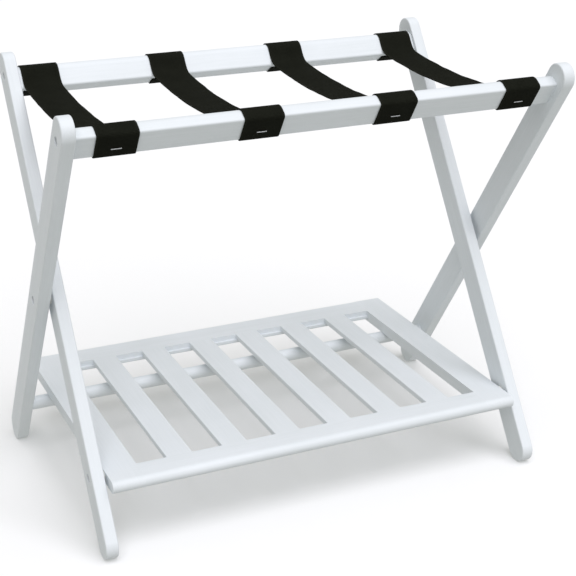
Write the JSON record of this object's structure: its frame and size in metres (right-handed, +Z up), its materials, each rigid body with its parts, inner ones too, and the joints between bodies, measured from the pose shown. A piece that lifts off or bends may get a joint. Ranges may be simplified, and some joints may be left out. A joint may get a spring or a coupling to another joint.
{
  "type": "folding luggage rack",
  "caption": "White painted wooden folding luggage rack with black webbing straps across crossed legs and a lift-up slatted lower shelf",
  "frame": {"origin": "on the floor, at the middle of the overall width and the middle of the overall depth", "axes": "+Z up, +X along the top rails to the right seen from the front, +Y to the rear; the front is the side with the shelf's round nose"},
  "size_m": [0.66, 0.426, 0.5585],
  "materials": {
    "painted_wood": "satin white paint",
    "bare_wood": "unfinished",
    "webbing": "woven",
    "steel": "zinc plated",
    "nylon": "smooth",
    "brass_insert": "machined"
  },
  "bodies": {
    "outer_frame": {"leg_outer_left": "painted_wood", "leg_outer_right": "painted_wood", "top_rail_front": "painted_wood", "lower_dowel": "painted_wood", "front_rail_screws": "steel", "front_rail_pins": "bare_wood", "strap_1": "webbing", "strap_2": "webbing", "strap_3": "webbing", "strap_4": "webbing", "front_staples": "steel"},
    "inner_frame": {"leg_inner_left": "painted_wood", "leg_inner_right": "painted_wood", "top_rail_rear": "painted_wood", "rear_rail_screws": "steel", "rear_rail_pins": "bare_wood", "rear_staples": "steel", "pivot_bolt_left": "steel", "pivot_bolt_right": "steel", "pivot_inserts": "brass_insert", "pivot_spacers": "nylon"},
    "shelf": {"shelf_side_left": "painted_wood", "shelf_side_right": "painted_wood", "shelf_front_rail": "painted_wood", "shelf_rear_rail": "painted_wood", "shelf_slat_1": "painted_wood", "shelf_slat_2": "painted_wood", "shelf_slat_3": "painted_wood", "shelf_slat_4": "painted_wood", "shelf_slat_5": "painted_wood", "shelf_slat_6": "painted_wood", "shelf_pivot_screws": "steel", "shelf_spacers": "nylon"}
  },
  "joints": [
    {"name": "frame_fold", "type": "hinge", "parent": "outer_frame", "child": "inner_frame", "pos_m": [0, -0.01715, 0.28042], "axis": [1, 0, 0], "range_deg": [0, 60.8], "deforming": ["strap_1", "strap_2", "strap_3", "strap_4"]},
    {"name": "shelf_lift", "type": "hinge", "parent": "inner_frame", "child": "shelf", "pos_m": [0, -0.14812, 0.08698], "axis": [1, 0, 0], "range_deg": [0, 55]}
  ]
}
